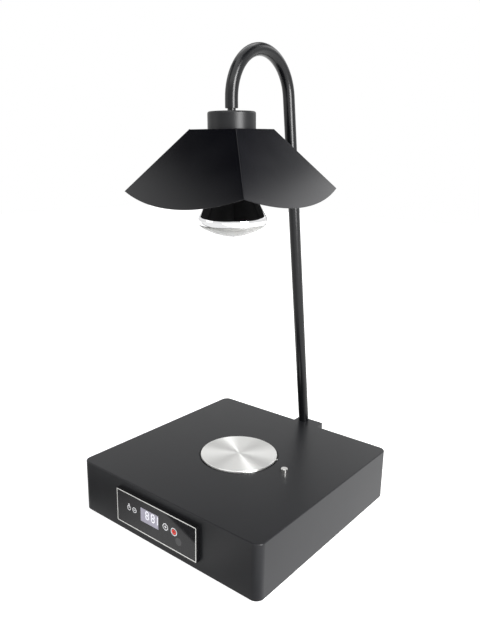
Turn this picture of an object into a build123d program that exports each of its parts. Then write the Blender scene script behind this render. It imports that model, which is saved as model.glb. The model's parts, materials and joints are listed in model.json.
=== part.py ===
from build123d import *
from math import atan2, cos, degrees, hypot, radians, sin, sqrt, tan
import os

# A food heat lamp: a square box base with a round warming plate, a touch control
# panel and a small push button, and a bent tube arm that carries a folded square
# shade with a reflector bulb above the plate. Millimetres, +Z up, front is -Y.

# Base box
base_size = 430.0
base_height = 102.0
base_corner = 15.0
base_top_round = 2.0
sheet = 2.0
foot_height = 7.0
foot_radius = 11.0
foot_inset = 18.5
floor_sheet = 1.5
floor_gap = 0.4
gusset_size = 24.0
gusset_height = 12.0
vent_length = 60.0
vent_width = 4.0
vent_pitch = 14.0
vent_count = 7
vent_offset = 95.0

# Warming plate and its heater, from the top down
plate_radius = 75.8
plate_proud = 3.2
plate_depth = 4.0
plate_gap = 3.0
plate_edge = 1.2
lug_angle = 23.0
lug_width = 2.6
lug_height = 1.8
lug_reach = 0.4
lug_slack = 0.4
ledge_width = 6.0
pan_sheet = 1.5
pan_flange = 16.0
pan_hole = 12.0
pan_depth = 34.0
element_thickness = 3.0
insulation_thickness = 8.0
clamp_sheet = 2.0
clamp_margin = 10.0
stud_radius = 3.0
stud_nut_height = 5.0
thermostat_radius = 8.0
thermostat_height = 6.0
thermostat_offset = 32.0

# Control panel on the front face
panel_x = -8.7
panel_lift = 1.0
panel_width = 201.4
panel_height = 68.4
panel_corner = 3.0
panel_proud = 7.6
panel_rim = 1.2
panel_recess = 2.4
trim_width = 1.8
trim_set_back = 0.2
panel_lap = 7.5
panel_body_depth = 15.0
panel_wall = 2.0
panel_ear = 8.0
board_thickness = 1.6
board_margin = 0.6
display_x = -21.6
display_up = 4.4
display_width = 45.1
display_height = 26.6
display_depth = 9.0
touch_x = (-75.0, -60.5, 18.4, 39.0)
touch_up = 4.7
touch_radius = 3.0
ir_x = 49.5
ir_up = -11.0
ir_radius = 4.0

# Push button beside the plate
button_x = 110.0
button_y = 0.0
button_travel = 2.0
button_radius = 6.3
button_edge = 0.5
button_height = 7.6
button_skirt = 2.6
button_gap = 0.25
button_stem_radius = 3.0
bushing_radius = 8.4
bushing_flange_radius = 11.0
bushing_flange = 1.2
bushing_length = 14.0
bushing_floor = 2.0
spring_wire = 0.7
spring_turns = 5
nut_height = 4.0
nut_flats = 21.0
stem_reach = 20.0
lever_arm = 14.0
lever_tip = 4.0
lever_width = 5.0
lever_sheet = 0.5
lever_tail = 10.0
actuator_radius = 1.2
actuator_offset = 4.0
switch_length = 28.0
switch_width = 8.0
switch_height = 10.8
bracket_sheet = 1.2

# Arm, a bent tube that leans forward over the base
post_x = 5.0
tube_radius = 11.0
tube_wall = 1.5
arm_lean = 8.6
bend_radius = 83.5
arm_rise = 753.0
leg_above_stem = 2.1
head_tilt = 2.0
tongue_left = 17.0
tongue_right = 44.0
tongue_depth = 23.5
tongue_corner = 5.0
block_height = 70.0
spigot_radius = 7.0
spigot_depth = 22.0
spigot_bore = 4.0
spigot_turn_gap = 2.0
plug_length = 25.0
plug_start = 2.0
cable_radius = 2.6
cable_bend = 16.0
cable_run = 14.3
cable_slot = 1.6
terminal_width = 30.0
terminal_depth = 20.0
terminal_height = 16.0
terminal_pitch = 9.0
terminal_well = 2.5
bracket_sheet_rear = 1.5
bracket_rise = 4.0

# Lamp head, along its own leaning axis
neck_length = 5.0
neck_radius = 7.0
stem_radius = 5.0
stem_bore = 3.2
bush_length = 8.0
washer_thickness = 1.0
stem_nut_height = 3.5
stem_tail = 1.0
cup_radius = 40.8
cup_height = 28.5
cup_sheet = 1.5
cup_round = 3.5
shade_top = 101.8
shade_corner_reach = 184.0
shade_drop = 99.8
shade_bulge = 27.0
shade_sheet = 1.2
socket_radius = 20.0
socket_up = 18.0
socket_down = 30.0
shade_ring_radius = 30.0
shade_ring_height = 5.0
bulb_length = 181.0
bulb_radius = 60.5
bulb_widest = 151.8
bulb_neck_radius = 19.5
bulb_neck = 38.0
bulb_throat_radius = 22.0
bulb_throat = 68.0
bulb_wall = 1.2
bulb_cap_radius = 13.1
bulb_cap_bottom = 26.0
bulb_cap_top = 3.5
glass_stem_radius = 5.0
glass_stem_depth = 30.0
filament_depth = 65.0
filament_radius = 12.0
filament_coil_radius = 1.0
filament_wire_radius = 0.5
filament_wire_foot = 3.0

# Mains inlet on the rear face
inlet_x = -110.0
inlet_width = 50.0
inlet_height = 23.0
inlet_flange = 2.5
inlet_body_depth = 22.0
inlet_cavity_width = 24.0
inlet_cavity_height = 16.0
inlet_cavity_depth = 17.0
inlet_wall = 1.8
pin_recess = 6.0
inlet_screw_pitch = 40.0
inlet_screw_radius = 1.6
pin_spacing = 7.0
pin_thickness = 2.0
pin_height = 4.0

# Power board on the floor, set back from the rear wall
board_width = 130.0
board_depth = 80.0
board_x = -60.0
board_from_wall = 45.0
board_post_height = 8.0
board_post_radius = 3.0
board_post_inset = 6.0
transformer_width = 38.0
transformer_depth = 34.0
transformer_height = 30.0
relay_from_transformer = 10.0
relay_spacing = 4.0
relay_width = 18.0
relay_depth = 16.0
relay_height = 16.0
capacitor_radius = 6.0
capacitor_height = 20.0
strip_from_left = 20.0
strip_from_edge = 8.0
strip_width = 70.0
strip_depth = 10.0
strip_height = 11.0

# Clearances
slip = 0.1
running = 0.05
fit = 0.3

# Worked out from the values above
half = base_size / 2
top = foot_height + base_height
under_top = top - sheet
floor_top = foot_height + floor_sheet
opening_radius = plate_radius + plate_gap
plate_bottom = top - plate_depth
element_radius = plate_radius - ledge_width - pan_sheet - 0.7
element_bottom = plate_bottom - element_thickness
insulation_bottom = element_bottom - insulation_thickness
clamp_bottom = insulation_bottom - clamp_sheet
pan_stud_radius = 2.0
pan_stud_circle = opening_radius + pan_flange * 0.6
inlet_z = foot_height + base_height / 2
panel_z = inlet_z + panel_lift
front_face = -half
panel_front = front_face - panel_proud
front_reach = half + panel_proud
rear_reach = half + tongue_depth
foot_y = rear_reach - tube_radius - 1.0
bend_z = top + arm_rise - bend_radius
bend_y = foot_y - tan(radians(arm_lean)) * (bend_z - top) - bend_radius / cos(radians(arm_lean))
tube_bore = tube_radius - tube_wall
swivel_stack = bush_length + washer_thickness + stem_nut_height + stem_tail
front_leg = swivel_stack + leg_above_stem

to_origin = Location((0, (front_reach - rear_reach) / 2, 0))


def save(name, shape):
    """Write one named piece, moved so that the origin is under the middle of the whole lamp."""
    moved = shape.moved(to_origin)
    moved.label = name
    export_step(moved, f"parts/{name}.step")
    return moved


def cylinder(radius, low, high, x=0.0, y=0.0):
    """Upright cylinder between two heights."""
    return Pos(x, y, low) * Cylinder(radius, high - low, align=(Align.CENTER, Align.CENTER, Align.MIN))


def ring(outer, inner, low, high, x=0.0, y=0.0):
    """Upright ring between two heights; the bore is cut a little longer so that it is clean."""
    return cylinder(outer, low, high, x, y) - cylinder(inner, low - 1, high + 1, x, y)


def block(x0, x1, y0, y1, z0, z1):
    """Box from its lowest to its highest corner."""
    size = (x1 - x0, y1 - y0, z1 - z0)
    return Pos(x0, y0, z0) * Box(*size, align=(Align.MIN, Align.MIN, Align.MIN))


def slab(width, depth, corner, low, high, x=0.0, y=0.0):
    """Flat plate with rounded corners between two heights."""
    return Pos(x, y, low) * extrude(RectangleRounded(width, depth, corner), high - low)


def upright_slab(width, height, corner, y_front, y_back, x, z):
    """Plate that stands like a wall, with rounded corners, between two depths."""
    upright = Plane(origin=(x, y_front, z), x_dir=(1, 0, 0), z_dir=(0, -1, 0))
    face = upright * RectangleRounded(width, height, corner)
    return extrude(face, -(y_back - y_front))


def along_y(radius, y_from, y_to, x, z):
    """Cylinder that lies along Y."""
    rod = Cylinder(radius, y_to - y_from, align=(Align.CENTER, Align.CENTER, Align.MIN))
    return Location((x, y_from, z), (-90, 0, 0)) * rod


def along_x(radius, x_from, x_to, y, z):
    """Cylinder that lies along X."""
    rod = Cylinder(radius, x_to - x_from, align=(Align.CENTER, Align.CENTER, Align.MIN))
    return Location((x_from, y, z), (0, 90, 0)) * rod


def hex_nut(flats, bore, low, high, x=0.0, y=0.0):
    """Hexagonal nut, measured across its flats."""
    body = Pos(x, y, low) * extrude(RegularPolygon(flats / 2, 6, major_radius=False), high - low)
    return body - cylinder(bore, low - 1, high + 1, x, y)


def screw(head_radius, head_height, shank_radius, shank_length):
    """Screw that points down -Z with the underside of its head at the origin, and a hexagonal drive."""
    head = cylinder(head_radius, 0, head_height)
    drive = Pos(0, 0, head_height / 2) * extrude(RegularPolygon(head_radius * 0.45, 6), head_height)
    return head - drive + cylinder(shank_radius, -shank_length, 0)


def corners(reach_x, reach_y=None):
    """The four places that are the same distance from the middle."""
    reach_y = reach_x if reach_y is None else reach_y
    return [(sx * reach_x, sy * reach_y) for sx in (-1, 1) for sy in (-1, 1)]


foot_reach = half - foot_inset
foot_screw_radius = 2.0
foot_places = corners(foot_reach)
pan_stud_places = [(x, y) for x, y in corners(pan_stud_circle * cos(radians(45)))]

# The arm's line, drawn in the upright plane through the post
arm_plane = Plane(origin=(post_x, 0, 0), x_dir=(0, 1, 0), z_dir=(1, 0, 0))
lean_down = (sin(radians(arm_lean)), -cos(radians(arm_lean)))
tilt_down = (sin(radians(head_tilt)), -cos(radians(head_tilt)))
rear_joint = (bend_y + bend_radius * cos(radians(arm_lean)), bend_z + bend_radius * sin(radians(arm_lean)))
front_joint = (bend_y - bend_radius * cos(radians(head_tilt)), bend_z - bend_radius * sin(radians(head_tilt)))
bend_turn = 180 + head_tilt - arm_lean


def step(point, direction, length):
    """Point at a distance along a direction in the arm's plane."""
    return (point[0] + direction[0] * length, point[1] + direction[1] * length)


def arm_line(start, end_length):
    """The arm's centre line from a start point on the post up, round the bend and down the front leg."""
    end = step(front_joint, tilt_down, end_length)
    bend = CenterArc(center=(bend_y, bend_z), radius=bend_radius, start_angle=arm_lean, arc_size=bend_turn)
    return [Line(start, rear_joint), bend, Line(front_joint, end)]


def sweep_round(lines, radius):
    """Round bar of one radius along lines drawn in the arm's plane."""
    path = Wire([arm_plane * edge for line in lines for edge in line.edges()])
    section = Plane(origin=path @ 0, z_dir=path % 0) * Circle(radius)
    return sweep(section, path=path)


tube_end = step(front_joint, tilt_down, front_leg)
head_origin = step(tube_end, tilt_down, neck_length + cup_height)
head = Location((post_x, head_origin[0], head_origin[1]), (head_tilt, 0, 0))
post_axis = Location((post_x, foot_y, top), (arm_lean, 0, 0))

# Cable route below the post: down the spigot, then a bend towards the front
foot_point = (foot_y, top)
cable_turn_start = step(foot_point, lean_down, spigot_depth + spigot_turn_gap)
cable_inward = (lean_down[1], -lean_down[0])
cable_centre = step(cable_turn_start, cable_inward, cable_bend)
cable_low = (cable_centre[0], cable_centre[1] - cable_bend)
terminal_rear = (cable_low[0] - cable_run, cable_low[1])


def cable_lines(run_start):
    """Lines of the cable from inside the base to the foot of the post."""
    turn = CenterArc(center=cable_centre, radius=cable_bend, start_angle=-90, arc_size=90 + arm_lean)
    return [Line(run_start, cable_low), turn]


def base_cover():
    """Folded and welded sheet steel cover with the tongue that carries the post."""
    outer = slab(base_size, base_size, base_corner, foot_height, top)
    outer = fillet(outer.faces().sort_by(Axis.Z)[-1].edges(), base_top_round)
    inner_size = base_size - 2 * sheet
    cover = outer - slab(inner_size, inner_size, base_corner - sheet, foot_height - 1, under_top)
    tongue = block(post_x - tongue_left, post_x + tongue_right, half - sheet - 1, rear_reach, under_top, top)
    rear_edges = tongue.edges().filter_by(Axis.Z).sort_by(Axis.Y)[-2:]
    cover += fillet(rear_edges, tongue_corner)
    edge = half - sheet
    gusset = block(edge - gusset_size, edge, edge - gusset_size, edge, floor_top, floor_top + gusset_height)
    gusset = gusset & slab(inner_size, inner_size, base_corner - sheet, 0, top)
    thread = foot_screw_radius - 0.2
    gusset -= cylinder(thread, floor_top - 1, floor_top + gusset_height + 1, foot_reach, foot_reach)
    for quarter in range(4):
        cover += Rot(0, 0, 90 * quarter) * gusset
    cover -= cylinder(opening_radius, under_top - 1, top + 1)
    notch_reach = opening_radius + lug_reach + lug_slack
    notch_side = lug_width / 2 + lug_slack
    notch = block(plate_radius, notch_reach, -notch_side, notch_side, under_top - 1, top + 1)
    cover -= Rot(0, 0, lug_angle) * notch
    cover -= cylinder(button_radius + button_gap, under_top - 1, top + 1, button_x, button_y)
    for x, y in pan_stud_places:
        cover += cylinder(pan_stud_radius, under_top - 7, under_top, x, y)
    cut_w = panel_width - 2 * panel_lap
    cut_h = panel_height - 2 * panel_lap
    cover -= upright_slab(cut_w, cut_h, 1.5, front_face - 1, front_face + sheet + 1, panel_x, panel_z)
    for x, z in panel_screw_places:
        cover -= along_y(panel_screw_radius + slip, front_face - 1, front_face + sheet + 1, x, z)
    cover -= post_axis * cylinder(spigot_radius + fit, -spigot_depth, 2)
    cover -= along_y(cable_radius + 2.0, half - sheet - 1, half + 0.5, post_x, cable_low[1])
    for x, z in block_screw_places:
        cover -= along_y(block_screw_radius + fit, half - sheet - 1, half + 0.5, x, z)
    reach_x = inlet_cavity_width / 2 + inlet_wall + fit
    reach_z = inlet_cavity_height / 2 + inlet_wall + fit
    near = half - sheet - 1
    cover -= block(inlet_x - reach_x, inlet_x + reach_x, near, half + 1, inlet_z - reach_z, inlet_z + reach_z)
    for x in inlet_screw_x:
        cover -= along_y(inlet_screw_radius, near, half + 1, x, inlet_z)
    return cover


panel_screw_radius = 1.5
panel_screw_places = [(panel_x + sx * (panel_width - panel_lap) / 2, panel_z + sz * panel_height / 4)
                      for sx in (-1, 1) for sz in (-1, 1)]
block_screw_radius = 2.5
block_screw_inset = 7.0
block_left = post_x - tongue_left
block_right = post_x + tongue_right
block_bottom = under_top - block_height
block_screw_places = [(x, z) for x in (block_left + block_screw_inset, block_right - block_screw_inset)
                      for z in (under_top - 2 * block_screw_inset, block_bottom + block_screw_inset)]


def bottom_plate():
    """Steel floor with cooling slots, foot screw holes and pressed-in board posts."""
    size = base_size - 2 * sheet - 2 * floor_gap
    plate = slab(size, size, base_corner - sheet - floor_gap, foot_height, floor_top)
    for x, y in foot_places:
        plate -= cylinder(foot_screw_radius + slip, foot_height - 1, floor_top + 1, x, y)
    first = -(vent_count - 1) / 2
    for side in (-1, 1):
        for i in range(vent_count):
            slot = Pos(side * vent_offset, (first + i) * vent_pitch, foot_height - 1)
            plate -= slot * extrude(SlotOverall(vent_length, vent_width), floor_sheet + 2)
    for x, y in board_post_places:
        plate += ring(board_post_radius, board_post_radius * 0.4, floor_top, board_bottom, x, y)
    return plate


board_y = half - board_from_wall - board_depth / 2
board_bottom = floor_top + board_post_height
board_posts = corners(board_width / 2 - board_post_inset, board_depth / 2 - board_post_inset)
board_post_places = [(board_x + x, board_y + y) for x, y in board_posts]


def rubber_feet():
    """Four round feet with a chamfered sole and a sunk screw seat."""
    foot = cylinder(foot_radius, 0, foot_height)
    foot = chamfer(foot.edges().sort_by(Axis.Z)[0], 1.0)
    foot -= cylinder(foot_screw_radius + slip, -1, foot_height + 1)
    foot -= cylinder(2 * foot_screw_radius + 0.4, -1, foot_height / 2)
    return Compound([Pos(x, y, 0) * foot for x, y in foot_places])


def foot_screws():
    """Four screws from below through the feet and the floor into the corner gussets."""
    length = foot_height / 2 + floor_sheet + gusset_height * 0.7
    one = Rot(180, 0, 0) * screw(2 * foot_screw_radius, 2.2, foot_screw_radius - 0.25, length)
    return Compound([Pos(x, y, foot_height / 2) * one for x, y in foot_places])


def hot_plate():
    """Turned steel warming plate with a centre stud and one small locating lug."""
    plate = cylinder(plate_radius, plate_bottom, top + plate_proud)
    plate = fillet(plate.edges().sort_by(Axis.Z)[-1], plate_edge)
    side = lug_width / 2
    rise = lug_height / 2
    lug = block(plate_radius - 2, opening_radius + lug_reach, -side, side, top - rise, top + rise)
    plate += Rot(0, 0, lug_angle) * lug
    stud_bottom = clamp_bottom - stud_nut_height - 2
    return plate + cylinder(stud_radius, stud_bottom, plate_bottom)


def heating_element():
    """Flat mica-wound element pressed against the plate."""
    return ring(element_radius, stud_radius + 5, element_bottom, plate_bottom)


def insulation_pad():
    """Ceramic fibre pad below the element."""
    return ring(element_radius, stud_radius + 5, insulation_bottom, element_bottom)


def clamp_plate():
    """Steel disc that presses the pad and the element up."""
    return ring(element_radius - clamp_margin, stud_radius + fit, clamp_bottom, insulation_bottom)


def clamp_nut():
    """Nut on the plate's centre stud."""
    return hex_nut(10.0, stud_radius + running, clamp_bottom - stud_nut_height, clamp_bottom)


def plate_thermostat():
    """Safety thermostat under the clamp plate."""
    body = cylinder(thermostat_radius, clamp_bottom - thermostat_height, clamp_bottom, thermostat_offset)
    low = clamp_bottom - thermostat_height
    for y in (-5, 5):
        body += block(thermostat_offset - 3, thermostat_offset + 3, y - 0.4, y + 0.4, low - 6, low)
    return body


def heater_pan():
    """Spun dish: a flange under the cover, a ledge that the warming plate rests on, and a closed bowl."""
    ledge_inner = plate_radius - ledge_width
    step_outer = opening_radius + pan_sheet
    bowl_bottom = top - pan_depth
    flange_bottom = under_top - pan_sheet
    outline = Polyline(
        (ledge_inner, plate_bottom), (opening_radius, plate_bottom), (opening_radius, under_top),
        (opening_radius + pan_flange, under_top), (opening_radius + pan_flange, flange_bottom),
        (step_outer, flange_bottom), (step_outer, plate_bottom - pan_sheet),
        (ledge_inner, plate_bottom - pan_sheet), (ledge_inner, bowl_bottom),
        (pan_hole, bowl_bottom), (pan_hole, bowl_bottom + pan_sheet),
        (ledge_inner - pan_sheet, bowl_bottom + pan_sheet), (ledge_inner - pan_sheet, plate_bottom),
        (ledge_inner, plate_bottom))
    pan = revolve(make_face(Plane.XZ * outline), Axis.Z)
    for x, y in pan_stud_places:
        pan -= cylinder(pan_stud_radius + fit, under_top - 8, under_top + 1, x, y)
    return pan


def pan_nuts():
    """Four nuts on the cover's studs."""
    low = under_top - pan_sheet
    one = hex_nut(7.0, pan_stud_radius + running, low - 3.2, low)
    return Compound([Pos(x, y, 0) * one for x, y in pan_stud_places])


def panel_bezel():
    """Gloss housing of the controls: a proud flange, a recess for trim and glass, and a body behind."""
    flange = upright_slab(panel_width, panel_height, panel_corner, panel_front, front_face, panel_x, panel_z)
    outer_w = board_hole_w + 2 * panel_wall
    outer_h = board_hole_h + 2 * panel_wall
    rear = front_face + panel_body_depth
    bezel = flange + upright_slab(outer_w, outer_h, 1.2, front_face, rear, panel_x, panel_z)
    recess_w = panel_width - 2 * panel_rim
    recess_h = panel_height - 2 * panel_rim
    recess_corner = panel_corner - panel_rim
    bezel -= upright_slab(recess_w, recess_h, recess_corner, panel_front - 1, glass_rear, panel_x, panel_z)
    bezel -= upright_slab(board_hole_w, board_hole_h, 0.8, panel_front, rear + 1, panel_x, panel_z)
    reach = panel_ear / 2
    for x, z in board_screw_places:
        ear = block(x - reach, x + reach, glass_rear, board_front, z - reach, z + reach)
        bezel += ear - along_y(board_screw_radius, board_front - 6, board_front + 1, x, z)
    for x, z in panel_screw_places:
        bezel -= along_y(panel_screw_radius - 0.3, front_face - 3.6, front_face + 0.1, x, z)
    return bezel


glass_rear = panel_front + panel_recess
board_front = glass_rear + 0.1 + display_depth
board_hole_w = panel_width - 2 * panel_lap - 2 * slip - 2 * panel_wall
board_hole_h = panel_height - 2 * panel_lap - 2 * slip - 2 * panel_wall
board_screw_radius = 0.9
board_screw_inset = (panel_ear - 1.0) / 2
board_screw_corners = corners(board_hole_w / 2 - board_screw_inset, board_hole_h / 2 - board_screw_inset)
board_screw_places = [(panel_x + x, panel_z + z) for x, z in board_screw_corners]
trim_front = panel_front + trim_set_back


def panel_trim():
    """Bright frame round the glass."""
    outer_w = panel_width - 2 * panel_rim - 2 * slip
    outer_h = panel_height - 2 * panel_rim - 2 * slip
    inner_w = outer_w - 2 * trim_width
    inner_h = outer_h - 2 * trim_width
    corner = panel_corner - panel_rim - slip
    frame = upright_slab(outer_w, outer_h, corner, trim_front, glass_rear, panel_x, panel_z)
    return frame - upright_slab(inner_w, inner_h, 0.6, panel_front - 1, glass_rear + 1, panel_x, panel_z)


def panel_glass():
    """Dark touch glass inside the trim."""
    inset = 2 * panel_rim + 4 * slip + 2 * trim_width
    glass_w = panel_width - inset
    glass_h = panel_height - inset
    return upright_slab(glass_w, glass_h, 0.5, trim_front, glass_rear, panel_x, panel_z)


def display_module():
    """Two-digit display block behind the glass."""
    x = display_x
    z = panel_z + display_up
    return block(x - display_width / 2, x + display_width / 2, glass_rear + 0.1, board_front,
                 z - display_height / 2, z + display_height / 2)


def control_board():
    """Circuit board on the bezel's four ears."""
    reach_x = board_hole_w / 2 - board_margin
    reach_z = board_hole_h / 2 - board_margin
    rear = board_front + board_thickness
    board = block(-reach_x, reach_x, board_front, rear, -reach_z, reach_z)
    board = Pos(panel_x, 0, panel_z) * board
    for x, z in board_screw_places:
        board -= along_y(board_screw_radius + fit, board_front - 1, rear + 1, x, z)
    plug_x = panel_x + reach_x * 0.4
    chip_x = panel_x - reach_x * 0.15
    board += block(plug_x - 10, plug_x + 10, rear, rear + 6, panel_z - 15, panel_z - 7)
    return board + block(chip_x - 7, chip_x + 7, rear, rear + 1.5, panel_z - 7, panel_z + 7)


def board_screws():
    """Four small screws through the control board into the bezel's ears."""
    one = Rot(-90, 0, 0) * screw(2 * board_screw_radius, 1.2, board_screw_radius - running, 5.0)
    return Compound([Pos(x, board_front + board_thickness, z) * one for x, z in board_screw_places])


def touch_springs():
    """Sensing pillars between the board and the back of the glass, one under each touch mark."""
    z = panel_z + touch_up
    return Compound([along_y(touch_radius, glass_rear, board_front, x, z) for x in touch_x])


def ir_receiver():
    """Remote control receiver behind its window."""
    z = panel_z + ir_up
    body = along_y(ir_radius, glass_rear + 2.0, board_front, ir_x, z)
    return body + Location((ir_x, glass_rear + 2.2, z)) * Sphere(ir_radius * 0.55)


def panel_screws():
    """Four screws from inside the base into the bezel's flange."""
    one = Rot(-90, 0, 0) * screw(2.4, 1.8, panel_screw_radius - 0.35, sheet + 3.2)
    return Compound([Pos(x, front_face + sheet, z) * one for x, z in panel_screw_places])


button_top = top + button_height
button_bottom = top - button_skirt
stem_bottom = top - stem_reach
bushing_top = under_top - bushing_flange
bushing_bottom = top - bushing_length
spring_floor = bushing_bottom + bushing_floor
clip_top = bushing_bottom - slip
clip_bottom = clip_top - 0.8
clip_groove = button_stem_radius - 0.8


def plunger_button():
    """Bright push button: a plain round head sliding in the cover's hole, and a stem with a tapered tip."""
    stem = button_stem_radius
    tip = stem - 1.6
    groove_high = clip_top + slip
    groove_low = clip_bottom - slip
    outline = Polyline(
        (0, button_top), (button_radius - button_edge, button_top), (button_radius, button_top - button_edge),
        (button_radius, button_bottom), (stem, button_bottom), (stem, groove_high),
        (clip_groove, groove_high), (clip_groove, groove_low), (stem, groove_low),
        (stem, stem_bottom + 2.0), (tip, stem_bottom), (0, stem_bottom), (0, button_top))
    return Pos(button_x, button_y, 0) * revolve(make_face(Plane.XZ * outline), Axis.Z)


def stem_clip():
    """Open retaining clip that stops the button's upward travel."""
    clip = ring(button_stem_radius + 2.2, clip_groove + running, clip_bottom, clip_top)
    mouth = block(0, button_stem_radius + 4, -1.2, 1.2, clip_bottom - 1, clip_top + 1)
    return Pos(button_x, button_y, 0) * (clip - mouth)


def plunger_guide():
    """Guide welded under the cover: a flange, a threaded outside, and a bore for head and return spring."""
    body = cylinder(bushing_radius, bushing_bottom, under_top)
    body += cylinder(bushing_flange_radius, bushing_top, under_top)
    body -= cylinder(button_radius + button_gap, spring_floor, top)
    body -= cylinder(button_stem_radius + running, bushing_bottom - 1, top)
    return Pos(button_x, button_y, 0) * body


def guide_nut():
    """Nut that pulls the switch bracket against the guide's flange."""
    high = bushing_top - bracket_sheet
    return hex_nut(nut_flats, bushing_radius + running, high - nut_height, high, button_x, button_y)


def plunger_spring():
    """Return spring round the stem, one helical wire."""
    wire = spring_wire / 2
    mean = (button_stem_radius + button_radius + button_gap) / 2
    low = spring_floor + wire + running
    high = button_bottom - wire - running
    helix = Helix(pitch=(high - low) / spring_turns, height=high - low, radius=mean)
    section = Plane(origin=helix @ 0, z_dir=helix % 0) * RegularPolygon(wire, 6)
    gap = (high - low) / spring_turns - spring_wire
    print(f"spring: least gap between turns {gap:.2f} mm, wire {spring_wire} mm")
    return Pos(button_x, button_y, low) * sweep(section, path=helix, is_frenet=True)


lever_top = stem_bottom - fit
lever_pivot_x = button_x + lever_arm
lever_pivot_z = lever_top - lever_sheet / 2
lever_drop = button_travel / lever_arm
switch_top = lever_top - lever_sheet - lever_drop * (lever_arm + lever_tip) - fit
switch_right = lever_pivot_x + lever_tail
switch_left = switch_right - switch_length
actuator_x = button_x + actuator_offset
actuator_reach = lever_pivot_x - actuator_x + actuator_radius
actuator_top = lever_top - lever_sheet - lever_drop * actuator_reach - fit
pivot_radius = 0.6
eye_radius = 1.3


def switch_lever():
    """Lever of the micro switch, with a rolled eye on the pivot pin."""
    near = button_y - lever_width / 2
    far = button_y + lever_width / 2
    blade = block(button_x - lever_tip, lever_pivot_x, near, far, lever_top - lever_sheet, lever_top)
    eye = along_y(eye_radius, near, far, lever_pivot_x, lever_pivot_z)
    bore = along_y(pivot_radius + running, near - 1, far + 1, lever_pivot_x, lever_pivot_z)
    return blade + eye - bore


def micro_switch():
    """Micro switch body with two ears that hold the lever's pivot pin, and its own small actuator."""
    reach = switch_width / 2
    low = switch_top - switch_height
    body = block(switch_left, switch_right, button_y - reach, button_y + reach, low, switch_top)
    inner = lever_width / 2 + fit
    for side in (-1, 1):
        near, far = sorted((button_y + side * inner, button_y + side * reach))
        body += block(lever_pivot_x - 2, lever_pivot_x + 2, near, far, switch_top, lever_pivot_z + eye_radius)
    body += along_y(pivot_radius, button_y - reach, button_y + reach, lever_pivot_x, lever_pivot_z)
    body += cylinder(actuator_radius, switch_top, actuator_top, actuator_x, button_y)
    for x in (switch_left + 4, (switch_left + switch_right) / 2, switch_right - 4):
        body += block(x - 0.4, x + 0.4, button_y - 2.4, button_y + 2.4, low - 6, low)
    return body


def switch_bracket():
    """Bent strip clamped under the guide's flange by the guide nut, which holds the micro switch."""
    left = button_x - nut_flats / 2 - 1
    right = switch_right + bracket_sheet
    near = button_y - nut_flats / 2
    far = button_y + nut_flats / 2
    under_strip = bushing_top - bracket_sheet
    strip = block(left, right, near, far, under_strip, bushing_top)
    strip -= cylinder(bushing_radius + slip, under_strip - 1, bushing_top + 1, button_x, button_y)
    return strip + block(switch_right, right, near, far, switch_top - switch_height, under_strip)


def post_block():
    """Block behind the base, under the tongue, with the leaning seat of the post and the cable's channel."""
    body = block(block_left, block_right, half, rear_reach, block_bottom, under_top)
    body = fillet(body.edges().filter_by(Axis.Z).sort_by(Axis.Y)[-2:], tongue_corner)
    body = chamfer(body.faces().sort_by(Axis.Z)[0].edges().sort_by(Axis.Y)[-1], 1.5)
    body -= post_axis * cylinder(spigot_radius + slip, -spigot_depth - 1, 2)
    lines = cable_lines((half - sheet - 3, cable_low[1])) + [Line(cable_turn_start, foot_point)]
    body -= sweep_round(lines, cable_radius + cable_slot)
    for x, z in block_screw_places:
        body -= along_y(block_screw_radius - 0.2, half - 1, half + 14, x, z)
    return body


def block_screws():
    """Four screws from inside the base into the post block."""
    one = Rot(90, 0, 0) * screw(4.2, 2.8, block_screw_radius - 0.3, sheet + 12)
    return Compound([Pos(x, half - sheet, z) * one for x, z in block_screw_places])


def arm_tube():
    """Bent tube: leaning post, half-round bend, short front leg, and a level cut where it stands."""
    start = step(foot_point, lean_down, 8)
    lines = arm_line(start, front_leg)
    tube = sweep_round(lines, tube_radius) - sweep_round(lines, tube_bore)
    below = block(post_x - 40, post_x + 40, foot_y - 40, foot_y + 40, top - 40, top)
    return tube - below


def arm_spigot():
    """Hollow threaded spigot in the post's foot that screws into the post block."""
    plug = cylinder(tube_bore - running, plug_start, plug_start + plug_length)
    body = plug + cylinder(spigot_radius, -spigot_depth, plug_start)
    return post_axis * (body - cylinder(spigot_bore, -spigot_depth - 1, plug_start + plug_length + 1))


def lamp_cable():
    """Heat-proof lead from the terminal block up the post and round the bend to the swivel."""
    lines = cable_lines(terminal_rear) + arm_line(cable_turn_start, cable_end_length)
    return sweep_round(lines, cable_radius)


# Heights on the head's own axis, from the top of the shade up
neck_low = cup_height
neck_high = cup_height + neck_length
bush_top = neck_high + bush_length
washer_top = bush_top + washer_thickness
stem_nut_top = washer_top + stem_nut_height
stem_top = stem_nut_top + stem_tail
socket_grip = socket_up - 8.0
cable_end_length = front_leg - swivel_stack - 0.15


def arm_end_bush():
    """Bearing bush pressed into the arm's open end."""
    return head * ring(tube_bore - running, stem_radius + running, neck_high, bush_top)


def swivel_stem():
    """Hollow threaded stem that the head hangs on, with the neck collar between arm and cup."""
    stem = cylinder(stem_radius, socket_grip, stem_top)
    stem += cylinder(neck_radius, neck_low, neck_high - slip)
    return head * (stem - cylinder(stem_bore, socket_grip - 1, stem_top + 1))


def friction_washer():
    """Spring washer that gives the swivel its drag."""
    return head * ring(8.2, stem_radius + running, bush_top, washer_top)


def stem_nut():
    """Lock nut that carries the head on the bush."""
    return head * hex_nut(13.5, stem_radius + running, washer_top, stem_nut_top)


def lamp_cup():
    """Round cup that covers the socket and rests on the shade."""
    cup = cylinder(cup_radius, 0, cup_height)
    cup = fillet(cup.edges().sort_by(Axis.Z)[-1], cup_round)
    cup -= cylinder(cup_radius - cup_sheet, -1, cup_height - cup_sheet)
    return head * (cup - cylinder(stem_radius + slip, 0, cup_height + 1))


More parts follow.
